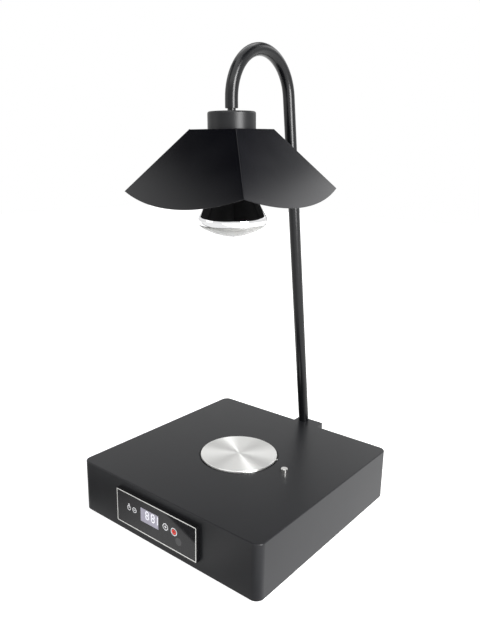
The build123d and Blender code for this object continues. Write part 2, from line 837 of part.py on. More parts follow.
def cup_nut():
    """Nut inside the cup that locks it against the neck collar."""
    high = cup_height - cup_sheet
    return head * hex_nut(16.0, stem_radius + running, high - 4, high)


def lamp_socket():
    """Ceramic screw socket on the stem's lower end, with the thread of the shade ring outside."""
    body = cylinder(socket_radius, -socket_down, socket_up)
    body = chamfer(body.edges().sort_by(Axis.Z)[-1], 3.0)
    body -= cylinder(bulb_cap_radius + 0.7, -socket_down - 1, -0.8)
    body -= cylinder(stem_radius + running, socket_grip, socket_up + 1)
    return head * (body - cylinder(stem_bore, 2, socket_up))


def socket_contact():
    """Brass tongue that meets the bulb's tip."""
    return head * block(-4, 4, -2.5, 2.5, -1.9, -0.8)


def head_lead():
    """Lead inside the stem, from the swivel to the socket's terminals."""
    return head * cylinder(cable_radius, 2.0, stem_top + 0.1)


def shade():
    """Square shade folded from sheet: four panels with arched lower hems, and a flat top for the socket."""
    half_top = shade_top / 2
    half_low = shade_corner_reach / sqrt(2)
    run = half_low - half_top
    slope = hypot(run, shade_drop)
    pitch = degrees(atan2(shade_drop, run))
    hem = (half_low ** 2 + shade_bulge ** 2) / (2 * shade_bulge)
    inward = (0, sin(radians(pitch)), -cos(radians(pitch)))
    panel_plane = Plane(origin=(0, -half_top, 0), x_dir=(1, 0, 0), z_dir=inward)
    strip = Pos(0, slope) * Rectangle(2 * slope + 2 * half_low, 2 * slope)
    outline = Pos(0, slope + shade_bulge - hem) * Circle(hem) & strip
    panel = extrude(panel_plane * outline, shade_sheet)
    far = 2 * shade_corner_reach
    wedge = extrude(Pos(0, 0, -far) * make_face(Polyline((0, 0), (-far, -far), (far, -far), (0, 0))), 2 * far)
    panel = panel & wedge
    body = block(-half_top, half_top, -half_top, half_top, -shade_sheet, 0)
    for quarter in range(4):
        body += Rot(0, 0, 90 * quarter) * panel
    return head * (body - cylinder(socket_radius + fit, -shade_sheet - 1, 1))


def shade_ring():
    """Ring nut on the socket that presses the shade up against the cup."""
    low = -shade_sheet - shade_ring_height
    nut = ring(shade_ring_radius, socket_radius + running, low, -shade_sheet)
    notch = cylinder(2.0, low - 1, -shade_sheet - 1.5, shade_ring_radius)
    for sixth in range(6):
        nut -= Rot(0, 0, 60 * sixth) * notch
    return head * nut


def bulb_outline():
    """Half outline of the bulb's glass, from its neck down to the tip."""
    flare_end = (bulb_radius - 2.7, -(bulb_widest - 9.3))
    flare_middle = (bulb_radius * 0.686, -(bulb_widest + bulb_throat) * 0.446)
    shoulder_end = (bulb_radius - 6.2, -(bulb_widest + 11.2))
    face_middle = (bulb_radius * 0.55, -(bulb_length - 7.9))
    tip_edge = (6.0, -(bulb_length - 1.3))
    return [
        Line((0, -bulb_cap_bottom), (bulb_cap_radius, -bulb_cap_bottom)),
        Line((bulb_cap_radius, -bulb_cap_bottom), (bulb_cap_radius, -(socket_down + 1.0))),
        Line((bulb_cap_radius, -(socket_down + 1.0)), (bulb_neck_radius, -bulb_neck)),
        Line((bulb_neck_radius, -bulb_neck), (bulb_throat_radius, -bulb_throat)),
        ThreePointArc((bulb_throat_radius, -bulb_throat), flare_middle, flare_end),
        ThreePointArc(flare_end, (bulb_radius, -bulb_widest), shoulder_end),
        ThreePointArc(shoulder_end, face_middle, tip_edge),
        Line(tip_edge, (0, -bulb_length)),
    ]


def bulb_glass():
    """Reflector bulb's glass envelope as a thin shell."""
    right = bulb_outline()
    left = [mirror(line, about=Plane.YZ) for line in right]
    whole = make_face([edge for line in right + left for edge in line.edges()])
    inside = offset(whole, amount=-bulb_wall)
    half_plane = Pos(bulb_radius, -bulb_length / 2) * Rectangle(2 * bulb_radius, 2 * bulb_length)
    outer = revolve(Plane.XZ * (whole & half_plane), Axis.Z)
    inner = revolve(Plane.XZ * (inside & half_plane), Axis.Z)
    return head * (outer - inner)


def bulb_cap():
    """Screw cap of the bulb with its tip contact."""
    shoulder = bulb_cap_top + 4.0
    outline = Polyline(
        (0, -bulb_cap_bottom), (bulb_cap_radius, -bulb_cap_bottom), (bulb_cap_radius, -shoulder),
        (5.0, -bulb_cap_top), (4.0, -2.1), (0, -2.1), (0, -bulb_cap_bottom))
    return head * revolve(make_face(Plane.XZ * outline), Axis.Z)


def bulb_filament():
    """Glass stem, two support wires and the ring filament inside the bulb."""
    stem_low = -(bulb_neck + glass_stem_depth)
    filament_z = -(bulb_neck + filament_depth)
    reach = filament_radius
    foot = filament_wire_foot
    body = cylinder(glass_stem_radius, stem_low, -(bulb_cap_bottom + bulb_wall))
    for side in (-1, 1):
        wire = Cylinder(filament_wire_radius, hypot(reach - foot, filament_z - stem_low))
        lean = degrees(atan2(side * (reach - foot), stem_low - filament_z))
        body += Location((side * (reach + foot) / 2, 0, (stem_low + filament_z) / 2), (0, -lean, 0)) * wire
    return head * (body + Pos(0, 0, filament_z) * Torus(reach, filament_coil_radius))


def terminal_block():
    """Screw terminals where the arm's lead ends."""
    y, z = terminal_rear
    reach = terminal_width / 2
    high = z + terminal_height / 2
    body = block(post_x - reach, post_x + reach, y - terminal_depth, y, z - terminal_height / 2, high)
    for x in (-terminal_pitch, 0, terminal_pitch):
        body -= cylinder(terminal_well, high - 3, high + 1, post_x + x, y - terminal_depth / 2)
    return body


def terminal_bracket():
    """Angle under the terminals, fixed to the rear wall."""
    y = terminal_rear[0] - terminal_depth
    z = terminal_rear[1] - terminal_height / 2
    reach = terminal_width / 2
    wall = half - sheet
    shelf = block(post_x - reach, post_x + reach, y, wall, z - bracket_sheet_rear, z)
    return shelf + block(post_x - reach, post_x + reach, wall - bracket_sheet_rear, wall, z, z + bracket_rise)


def power_board():
    """Power supply board with transformer, relays, capacitors and terminals on its posts."""
    high = board_bottom + board_thickness
    reach_x = board_width / 2
    reach_y = board_depth / 2
    board = Pos(board_x, board_y, 0) * block(-reach_x, reach_x, -reach_y, reach_y, board_bottom, high)
    for x, y in board_post_places:
        board -= cylinder(board_post_radius * 0.5, board_bottom - 1, high + 1, x, y)
    left = board_x - reach_x + 2 * board_post_inset
    front = board_y - reach_y + 2 * board_post_inset
    right = left + transformer_width
    board += block(left, right, front, front + transformer_depth, high, high + transformer_height)
    first = right + relay_from_transformer
    for i in range(2):
        x = first + i * (relay_width + relay_spacing)
        board += block(x, x + relay_width, front, front + relay_depth, high, high + relay_height)
        middle = x + relay_width / 2
        board += cylinder(capacitor_radius, high, high + capacitor_height, middle, front + 2 * relay_depth)
    rear = board_y + reach_y - strip_from_edge
    start = left + strip_from_left
    return board + block(start, start + strip_width, rear - strip_depth, rear, high, high + strip_height)


def inlet_socket():
    """Three-pole mains inlet with a flange outside and a body through the rear wall."""
    flange = upright_slab(inlet_width, inlet_height, 4.0, half, half + inlet_flange, inlet_x, inlet_z)
    rear = half - inlet_body_depth
    body_x = inlet_cavity_width / 2 + inlet_wall
    body_z = inlet_cavity_height / 2 + inlet_wall
    body = block(inlet_x - body_x, inlet_x + body_x, rear, half + 0.1, inlet_z - body_z, inlet_z + body_z)
    mouth_x = inlet_cavity_width / 2
    mouth_z = inlet_cavity_height / 2
    mouth_y = half + inlet_flange
    floor_y = mouth_y - inlet_cavity_depth
    cavity = Pos(inlet_x, 0, inlet_z) * block(-mouth_x, mouth_x, floor_y, mouth_y + 1, -mouth_z, mouth_z)
    upper = cavity.edges().filter_by(Axis.Y).sort_by(Axis.Z)[-2:]
    socket = flange + body - chamfer(upper, 3.5)
    for x in inlet_screw_x:
        socket -= along_y(inlet_screw_radius + slip, half - 1, mouth_y + 1, x, inlet_z)
    slot_x = pin_thickness / 2 + slip
    slot_z = pin_height / 2 + slip
    for x, z in pin_places:
        socket -= block(x - slot_x, x + slot_x, rear - 1, half, z - slot_z, z + slot_z)
    return socket


inlet_screw_x = (inlet_x - inlet_screw_pitch / 2, inlet_x + inlet_screw_pitch / 2)
pin_rise = 2.0
pin_places = [(inlet_x, inlet_z + pin_rise), (inlet_x - pin_spacing, inlet_z - pin_rise),
              (inlet_x + pin_spacing, inlet_z - pin_rise)]


def inlet_pins():
    """The inlet's three flat contact pins, with their solder tags."""
    tip = half + inlet_flange - pin_recess
    tag = half - inlet_body_depth - 6
    reach_x = pin_thickness / 2
    reach_z = pin_height / 2
    one = block(-reach_x, reach_x, tag, tip, -reach_z, reach_z)
    return Compound([Pos(x, 0, z) * one for x, z in pin_places])


def inlet_screws():
    """Two screws that hold the inlet's flange."""
    one = Rot(-90, 0, 0) * screw(2.8, 1.6, inlet_screw_radius - 0.15, 9.0)
    return Compound([Pos(x, half + inlet_flange, inlet_z) * one for x in inlet_screw_x])


pieces = [
    base_cover, bottom_plate, rubber_feet, foot_screws, hot_plate, heating_element, insulation_pad,
    clamp_plate, clamp_nut, plate_thermostat, heater_pan, pan_nuts, panel_bezel, panel_trim,
    panel_glass, display_module, control_board, board_screws, touch_springs, ir_receiver, panel_screws,
    plunger_button, stem_clip, plunger_guide, guide_nut, plunger_spring, switch_lever, micro_switch,
    switch_bracket, post_block, block_screws, arm_tube, arm_spigot, lamp_cable, arm_end_bush,
    swivel_stem, friction_washer, stem_nut, lamp_cup, cup_nut, lamp_socket, socket_contact, head_lead,
    shade, shade_ring, bulb_glass, bulb_cap, bulb_filament, terminal_block, terminal_bracket,
    power_board, inlet_socket, inlet_pins, inlet_screws,
]

os.makedirs("parts", exist_ok=True)
for piece in pieces:
    save(piece.__name__, piece())

shift = to_origin.position.Y
print(f"origin shift in Y {shift:.3f}")
head_point = f"({post_x:.3f}, {head_origin[0] + shift:.3f}, {head_origin[1]:.3f})"
print(f"head axis: point {head_point}, tilt {head_tilt} degrees")
pivot_point = f"({lever_pivot_x:.3f}, {button_y + shift:.3f}, {lever_pivot_z:.3f})"
print(f"button axis: ({button_x:.3f}, {button_y + shift:.3f}); lever pivot {pivot_point}")
print(f"cable bend radius {cable_bend} mm on a {2 * cable_radius} mm lead; arm bend {bend_radius} mm")
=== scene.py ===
# %% [markdown]
# # Dressing a food heat lamp for its picture
#
# A food heat lamp keeps plates warm from two sides: a steel plate in the base heats from below, and a
# reflector bulb under a folded shade heats from above. The construction is ready: every piece has its
# real size and place, and moves on its own body. This lesson gives each piece the surface that it has
# in the shop, adds what is too fine to be built, and lights it like a catalogue picture.
#
# Lengths in Blender are metres here, so a small helper turns millimetres into them. Real sizes are
# easier to read in millimetres.

# %% Load the frame
import json
import math

import bmesh
import bpy
from mathutils import Matrix, Vector


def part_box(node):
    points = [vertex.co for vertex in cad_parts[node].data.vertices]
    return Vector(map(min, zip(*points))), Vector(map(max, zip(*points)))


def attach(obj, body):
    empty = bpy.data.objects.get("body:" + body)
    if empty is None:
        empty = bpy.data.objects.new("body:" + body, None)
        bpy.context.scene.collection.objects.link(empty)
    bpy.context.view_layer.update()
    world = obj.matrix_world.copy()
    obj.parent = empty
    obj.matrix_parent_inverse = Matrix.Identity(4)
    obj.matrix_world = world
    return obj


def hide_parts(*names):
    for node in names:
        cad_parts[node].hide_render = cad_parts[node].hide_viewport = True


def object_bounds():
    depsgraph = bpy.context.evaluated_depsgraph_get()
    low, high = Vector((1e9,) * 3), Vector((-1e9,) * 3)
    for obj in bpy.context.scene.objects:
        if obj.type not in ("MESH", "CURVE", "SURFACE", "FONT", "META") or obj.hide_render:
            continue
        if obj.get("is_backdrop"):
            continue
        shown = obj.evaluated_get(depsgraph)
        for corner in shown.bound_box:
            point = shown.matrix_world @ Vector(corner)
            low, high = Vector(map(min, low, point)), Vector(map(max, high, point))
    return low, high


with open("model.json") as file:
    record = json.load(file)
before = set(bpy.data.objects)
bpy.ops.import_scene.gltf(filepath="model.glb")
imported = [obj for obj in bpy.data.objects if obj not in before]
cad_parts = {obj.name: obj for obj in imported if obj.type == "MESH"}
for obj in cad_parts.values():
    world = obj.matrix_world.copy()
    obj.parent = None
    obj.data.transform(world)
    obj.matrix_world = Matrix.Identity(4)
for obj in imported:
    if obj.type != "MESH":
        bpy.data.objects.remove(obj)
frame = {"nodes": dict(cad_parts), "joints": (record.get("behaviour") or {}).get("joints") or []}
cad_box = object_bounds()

nodes = frame["nodes"]
scene = bpy.context.scene
print("pieces:", len(nodes))

# %% Millimetres
def mm(*lengths):
    """Millimetres as metres, one number or a vector."""
    metres = [length / 1000 for length in lengths]
    return metres[0] if len(metres) == 1 else Vector(metres)


print("one millimetre is", mm(1), "m")

# %% [markdown]
# ## The camera
#
# A product picture looks right only when the camera stands where the photographer stood. The place was
# found from the base's edges and the plate's ellipse: about 1.2 m away, 39 degrees round to the right
# and 15 degrees above the horizon, with a moderately long lens. The slight roll of one degree is in the
# photograph too, so the base's edges fall at the same slopes.

# %% Camera
camera_lens = 34.476
film_width = 36
camera_place = mm(695.9, -878.2, 678.5)
camera_pitch = math.radians(14.729)
camera_turn = math.radians(38.773)
camera_roll = math.radians(0.975)

camera_data = bpy.data.cameras.new("studio_camera")
camera_data.lens = camera_lens
camera_data.sensor_width = film_width
camera = bpy.data.objects.new("studio_camera", camera_data)
scene.collection.objects.link(camera)
camera.matrix_world = (
    Matrix.Translation(camera_place)
    @ Matrix.Rotation(camera_turn, 4, "Z")
    @ Matrix.Rotation(math.pi / 2 - camera_pitch, 4, "X")
    @ Matrix.Rotation(camera_roll, 4, "Z")
)
scene.camera = camera
scene.view_settings.view_transform = "Standard"
print("camera at", [round(c, 3) for c in camera_place], "with a lens of", camera_lens, "mm")

# %% [markdown]
# ## Shader maths as plain expressions
#
# A material is a graph of nodes. Written out node by node, even `1 - mask` takes four lines. Three small
# classes keep it readable. The first, `Wire`, is one socket that can be added, multiplied and compared:
# each sign adds one Math node.

# %% Wires
class Wire:
    """One output socket with arithmetic: each operation adds a Math node."""

    def __init__(self, graph, socket):
        self.graph = graph
        self.socket = socket

    def maths(self, operation, *others):
        return self.graph.node("ShaderNodeMath", {"operation": operation}, dict(enumerate((self, *others))))

    def clamped(self):
        """The same value, kept between 0 and 1."""
        return self.maths("MINIMUM", 1.0).maths("MAXIMUM", 0.0)

    def __add__(self, other):
        return self.maths("ADD", other)

    def __radd__(self, other):
        return self.maths("ADD", other)

    def __sub__(self, other):
        return self.maths("SUBTRACT", other)

    def __rsub__(self, other):
        return self.graph.node("ShaderNodeMath", {"operation": "SUBTRACT"}, {0: other, 1: self})

    def __mul__(self, other):
        return self.maths("MULTIPLY", other)

    def __rmul__(self, other):
        return self.maths("MULTIPLY", other)

    def __truediv__(self, other):
        return self.maths("DIVIDE", other)

    def __gt__(self, other):
        return self.maths("GREATER_THAN", other)

    def __lt__(self, other):
        return self.maths("LESS_THAN", other)


print("Wire:", Wire.__doc__)

# %% [markdown]
# `Graph` is a tree of nodes, of a material or of the sky. Its `node` method makes any node from its
# type, its settings and its inputs, and `feed` gives a socket a value or a wire. So no other line has to
# link sockets by hand.

# %% Graphs
class Graph:
    """A tree of shader nodes, of a material or of the world."""

    def __init__(self, tree):
        self.tree = tree

    def feed(self, socket, value):
        if isinstance(value, Wire):
            self.tree.links.new(value.socket, socket)
        else:
            socket.default_value = value

    def node(self, kind, settings=None, inputs=None, take=None):
        """Adds a node: settings first, then its inputs, and returns one output."""
        node = self.tree.nodes.new(kind)
        for name, value in (settings or {}).items():
            if name == "stops":
                shape_ramp(node.color_ramp, value)
            else:
                setattr(node, name, value)
        for key, value in (inputs or {}).items():
            self.feed(node.inputs[key], value)
        outputs = [socket for socket in node.outputs if socket.enabled]
        return Wire(self, node.outputs[take] if take is not None else outputs[0])

    def place(self):
        """Position on the piece, in metres, in the frame's own axes."""
        return self.node("ShaderNodeTexCoord", take="Object")

    def split(self, vector):
        kind = "ShaderNodeSeparateXYZ"
        source = self.node(kind, inputs={"Vector": vector}, take="X").socket.node
        return [Wire(self, source.outputs[axis]) for axis in "XYZ"]

    def noise(self, vector, scale, detail=2.0):
        inputs = {"Vector": vector, "Scale": scale, "Detail": detail}
        return self.node("ShaderNodeTexNoise", inputs=inputs, take="Fac")

    def noise_line(self, along, detail):
        """Noise that depends on one number only."""
        inputs = {"W": along, "Detail": detail}
        return self.node("ShaderNodeTexNoise", {"noise_dimensions": "1D"}, inputs, take="Fac")

    def between(self, low, high, factor):
        """Colour between two colours."""
        settings = {"data_type": "RGBA"}
        ends = [end if isinstance(end, Wire) else (*end, 1.0) for end in (low, high)]
        return self.node("ShaderNodeMix", settings, {0: factor, 6: ends[0], 7: ends[1]}, take=2)

    def ray_kinds(self, *names):
        """1 for each kind of ray that looks at the surface, 0 for the others."""
        rays = self.node("ShaderNodeLightPath", take=names[0]).socket.node
        return [Wire(self, rays.outputs[name]) for name in names]


def shape_ramp(ramp, stops):
    """Gives a colour ramp its stops: (position, grey)."""
    while len(ramp.elements) > 1:
        ramp.elements.remove(ramp.elements[-1])
    for index, (position, grey) in enumerate(stops):
        stop = ramp.elements[0] if index == 0 else ramp.elements.new(position)
        stop.position = position
        stop.color = (grey, grey, grey, 1.0)


print("Graph:", Graph.__doc__)

# %% [markdown]
# `Finish` is the graph of one material, built round the Principled shader. What is the same all over a
# surface is set on the shader's own sockets, and only what changes from place to place is wired.

# %% Finishes
class Finish(Graph):
    """One material, built round a Principled shader."""

    def __init__(self, name, colour, roughness, metallic=0.0, **sockets):
        self.material = bpy.data.materials.new(name)
        self.material.use_nodes = True
        super().__init__(self.material.node_tree)
        self.shader = self.tree.nodes["Principled BSDF"]
        self.output = self.tree.nodes["Material Output"]
        self.set("Base Color", (*colour, 1.0))
        self.set("Roughness", roughness)
        self.set("Metallic", metallic)
        for name, value in sockets.items():
            self.set(name.replace("_", " "), value)

    def set(self, name, value):
        self.feed(self.shader.inputs[name], value)

    def bump(self, height, distance, strength):
        inputs = {"Height": height, "Distance": distance, "Strength": strength}
        self.set("Normal", self.node("ShaderNodeBump", inputs=inputs))


def dress(finish, *names):
    """Gives CAD pieces their finish."""
    for name in names:
        mesh = nodes[name].data
        mesh.materials.clear()
        mesh.materials.append(finish.material)
    print(finish.material.name, "on", ", ".join(names))


print("Finish:", Finish.__doc__)

# %% [markdown]
# ## Powder coat
#
# Nearly everything here is steel under black powder coat. Baked powder isn't smooth: it flows into tiny
# soft bumps, half a millimetre to a millimetre across, which blur its reflections and make a black
# surface look grey where it mirrors a bright room. The colour itself is almost black. So most of the
# look comes from roughness and from a very shallow bump, and hardly any from the colour. Five coats
# differ: the outside of the shade is the smoothest and darkest, the arm comes next, the base and the cup
# are satin, and the inside of the shade is matt, because heat and dust have dulled it.

# %% Powder coat
noise_middle = 0.5
cloud_scale, cloud_detail, bump_detail = 14.0, 3.0, 2.0
cloud_lift, cloud_dulling = 1.35, 0.08
bump_dulling, bump_strength = 0.05, 0.6


def powder_coat(name, colour, roughness, grain, gloss, depth):
    """Black powder coat: soft bumps, roughness that wanders a little, faint cloudiness."""
    coat = Finish(name, colour, roughness, Specular_IOR_Level=gloss)
    place = coat.place()
    bumps = coat.noise(place, grain, bump_detail)
    clouds = coat.noise(place, cloud_scale, cloud_detail)
    lighter = tuple(min(1.0, channel * cloud_lift) for channel in colour)
    coat.set("Base Color", coat.between(colour, lighter, clouds))
    duller = (clouds - noise_middle) * cloud_dulling + (bumps - noise_middle) * bump_dulling
    coat.set("Roughness", roughness + duller)
    coat.bump(bumps, depth, bump_strength)
    return coat


fine_grain, broad_grain = 1800.0, 1500.0
base_coat = powder_coat("base_powder_coat", (0.0078, 0.0081, 0.0094), roughness=0.34, grain=broad_grain,
                        gloss=0.3, depth=mm(0.012))
arm_coat = powder_coat("arm_powder_coat", (0.0022, 0.0024, 0.003), roughness=0.24, grain=fine_grain,
                       gloss=0.38, depth=mm(0.001))
cup_coat = powder_coat("cup_powder_coat", (0.0035, 0.0037, 0.0044), roughness=0.38, grain=broad_grain,
                       gloss=0.35, depth=mm(0.006))
shade_coat = powder_coat("shade_powder_coat", (0.0008, 0.0009, 0.002), roughness=0.17, grain=fine_grain,
                         gloss=0.3, depth=mm(0.003))
shade_lining = powder_coat("shade_inside_coat", (0.0015, 0.0015, 0.0018), roughness=0.6, grain=fine_grain,
                           gloss=0.15, depth=mm(0.004))
dress(base_coat, "base_cover", "post_block")
dress(arm_coat, "arm_tube", "swivel_stem")
dress(cup_coat, "lamp_cup")
dress(shade_coat, "shade", "shade_ring")

# %% [markdown]
# ## Turned stainless steel
#
# The warming plate is turned on a lathe, which leaves rings finer than the eye can part. Each ring
# tilts the surface a little inwards or outwards, never sideways. That is why light gathers into bright
# spokes that run through the centre and swing round when one walks past. Painted spokes would stand
# still. The shader's anisotropy does what the rings do: its gloss is wide across them and narrow along
# them, and it needs no drawn rings, because it turns round the piece's own upright middle. A shallow
# noise that only depends on the distance from the centre adds the few coarser rings that one can see.
#
# A narrow gap runs round the plate. Down there the steel lies in shade, and that shade is painted: the colour
# turns dark just below the base's top.

# %% Turned steel
base_top = mm(109)
plate_low, plate_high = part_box("hot_plate")
plate_centre = (plate_low + plate_high) / 2
print("plate centre:", [round(c, 4) for c in plate_centre])

across_rings, quarter_turn = 0.91, 0.25
ring_scale, ring_detail, ring_change, ring_strength = 900.0, 3.0, 0.94, 0.5
gap_level = base_top - mm(0.8)
# Painted shade for the steel down in the gap round the plate.
gap_shade_tone = (0.03, 0.03, 0.03)
flattening = (1.0, 1.0, 0.0)


def turned_steel(name, centre, colour, roughness, coarse):
    """Steel with turned rings round an upright axis through the centre, with painted shade down in the gap.
    """
    steel = Finish(name, colour, roughness, 1.0, Anisotropic=across_rings, Anisotropic_Rotation=quarter_turn)
    place = steel.place()
    middle = (centre.x, centre.y, 0.0)
    away = steel.node("ShaderNodeVectorMath", {"operation": "SUBTRACT"}, {0: place, 1: middle})
    flat = steel.node("ShaderNodeVectorMath", {"operation": "MULTIPLY"}, {0: away, 1: flattening})
    radius = steel.node("ShaderNodeVectorMath", {"operation": "LENGTH"}, {0: flat}, take="Value")
    rings = steel.noise_line(radius * ring_scale, ring_detail)
    darker = tuple(channel * ring_change for channel in colour)
    face_tone = steel.between(darker, colour, rings)
    height = steel.split(place)[2]
    # Below the gap level the colour is painted shade, not the steel's own colour.
    steel.set("Base Color", steel.between(face_tone, gap_shade_tone, height < gap_level))
    steel.bump(rings, coarse, ring_strength)
    return steel


plate_steel = turned_steel("turned_stainless", plate_centre, (0.92, 0.92, 0.9), 0.34, mm(0.01))
dress(plate_steel, "hot_plate")

# %% [markdown]
# ## Small metals, plastics and ceramics
#
# The remaining pieces need fewer words: bright steel for the button, zinc on the fasteners,
# galvanised sheet for the floor, a brushed frame round the glass, rubber feet and porcelain. Each has a
# little noise of its own, because a perfectly even colour always looks like plastic film.

# %% Metals
broad_share, fine_detail, broad_detail = 12.0, 3.0, 2.0
fine_dulling, fine_strength = 0.2, 0.4


def plain(name, colour, roughness, metallic=0.0, grain=300.0, change=0.12, depth=0.02, **sockets):
    """A finish with fine colour, roughness and bump changes; depth is in millimetres."""
    finish = Finish(name, colour, roughness, metallic, **sockets)
    place = finish.place()
    fine = finish.noise(place, grain, fine_detail)
    broad = finish.noise(place, grain / broad_share, broad_detail)
    darker = tuple(channel * (1 - change) for channel in colour)
    finish.set("Base Color", finish.between(darker, colour, broad))
    finish.set("Roughness", roughness + (fine - noise_middle) * fine_dulling * roughness)
    finish.bump(fine, mm(depth), fine_strength)
    return finish


bright_steel = plain("bright_stainless", (0.8, 0.79, 0.77), 0.14, 1.0, grain=900.0, change=0.05, depth=0.004)
zinc = plain("zinc_plating", (0.62, 0.62, 0.58), 0.34, 1.0, grain=700.0, change=0.15, depth=0.01)
galvanised = plain("galvanised_sheet", (0.5, 0.51, 0.52), 0.42, 1.0, grain=120.0, change=0.3)
spring_steel = plain("spring_steel", (0.42, 0.42, 0.42), 0.3, 1.0)
bronze = plain("sintered_bronze", (0.5, 0.33, 0.16), 0.4, 1.0)
brass = plain("brass", (0.75, 0.56, 0.24), 0.25, 1.0)
trim_metal = plain("brushed_frame", (0.93, 0.93, 0.9), 0.35, 0.55, grain=1200.0, change=0.04, depth=0.002)

dress(bright_steel, "plunger_button", "plunger_guide", "touch_springs")
dress(zinc, "foot_screws", "clamp_nut", "pan_nuts", "board_screws", "panel_screws", "guide_nut")
dress(zinc, "block_screws", "arm_spigot", "stem_nut", "cup_nut", "inlet_screws")
dress(galvanised, "bottom_plate", "clamp_plate", "switch_bracket", "terminal_bracket")
dress(spring_steel, "stem_clip", "plunger_spring", "switch_lever", "friction_washer")
dress(bronze, "arm_end_bush")
dress(brass, "socket_contact", "inlet_pins")
dress(trim_metal, "panel_trim", "bulb_cap")

# %% [markdown]
# The rest isn't bare metal: soft rubber under the base, moulded nylon, glazed porcelain where the bulb is
# hot, fibre that keeps the heat in, mica round the heating wire and enamel on the heater's pan. The same
# helper serves, without the metal and with a coarser or finer grain. The glaze is a clear coat.

# %% Rubber, plastics and ceramics
foot_rubber = plain("foot_rubber", (0.012, 0.012, 0.012), 0.7, grain=500.0, change=0.2, depth=0.05)
lead_jacket = plain("silicone_lead", (0.015, 0.015, 0.015), 0.5)
nylon = plain("black_nylon", (0.013, 0.013, 0.014), 0.45, grain=800.0, change=0.2)
porcelain = plain("porcelain", (0.74, 0.72, 0.67), 0.22, grain=60.0, change=0.06, Coat_Weight=0.6)
fibre_board = plain("ceramic_fibre", (0.78, 0.77, 0.72), 0.9, grain=900.0, change=0.15, depth=0.2)
mica = plain("mica_sheet", (0.5, 0.42, 0.28), 0.4, grain=80.0, change=0.35, depth=0.05)
circuit_board = plain("circuit_board", (0.02, 0.16, 0.06), 0.4, grain=200.0, change=0.25)
black_enamel = plain("black_enamel", (0.012, 0.012, 0.012), 0.55, grain=400.0, change=0.2, depth=0.01)
gloss_black = plain("gloss_black_moulding", (0.004, 0.004, 0.0045), 0.12, grain=700.0, change=0.1,
                    depth=0.002)

dress(foot_rubber, "rubber_feet")
dress(lead_jacket, "lamp_cable", "head_lead")
dress(nylon, "plate_thermostat", "ir_receiver", "micro_switch", "inlet_socket")
dress(porcelain, "lamp_socket", "terminal_block")
dress(fibre_board, "insulation_pad")
dress(mica, "heating_element")
dress(circuit_board, "control_board", "power_board", "display_module")
dress(gloss_black, "panel_bezel")
dress(black_enamel, "heater_pan")

# %% [markdown]
# ## The control glass and its marks
#
# The controls are touch marks printed behind dark glass: a ring with a cap for the timer, minus and plus
# in rings, a ringed power mark in red, a paler round window for the remote control, and a lilac display
# with two digits. Printing is flat, but a mark that is drawn as a thin plate on the glass keeps its crisp
# edge from any side and in the exported mesh. So each mark is a plate a few hundredths of a millimetre
# thick, drawn on the panel's own plane with x to the right and y up.

# %% Control glass
smoked_glass = plain("smoked_glass", (0.011, 0.011, 0.0125), 0.06, grain=60.0, change=0.1, depth=0.002,
                     Specular_IOR_Level=0.42)
dress(smoked_glass, "panel_glass")
glass_low, glass_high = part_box("panel_glass")
glass_front = glass_low.y
glass_middle = (glass_low + glass_high) / 2
print("glass:", [round(1000 * c, 1) for c in glass_high - glass_low], "mm")

# %% [markdown]
# Every mesh that this lesson builds becomes a piece in the same way: its mesh is handed to an object, it
# gets its finish, and it is attached to the body that it moves with.

# %% Pieces
def add_piece(name, mesh, finish, slot, body, smooth=False):
    """Turns a gathered mesh into a piece that rides on a body."""
    bmesh.ops.recalc_face_normals(mesh, faces=mesh.faces)
    data = bpy.data.meshes.new(name)
    mesh.to_mesh(data)
    mesh.free()
    if smooth:
        data.shade_smooth()
    data.materials.append(finish.material)
    piece = bpy.data.objects.new(name, data)
    scene.collection.objects.link(piece)
    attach(piece, body)
    print(name, "with", len(data.polygons), "faces rides on", body)
    return piece


print("helper:", add_piece.__doc__)

# %% [markdown]
# Bars, discs and rings are all that the marks need. An image could print them too, but it would blur up
# close. Drawn as outlines, they stay sharp at any distance. A part of a ring is a strip with two ends.

# %% Thin plates
mark_height = mm(0.05)
rim_steps, least_steps, full_turn = 48, 6, 360.0


def turns(steps=rim_steps):
    """Angles of one full turn."""
    return [math.tau * i / steps for i in range(steps)]


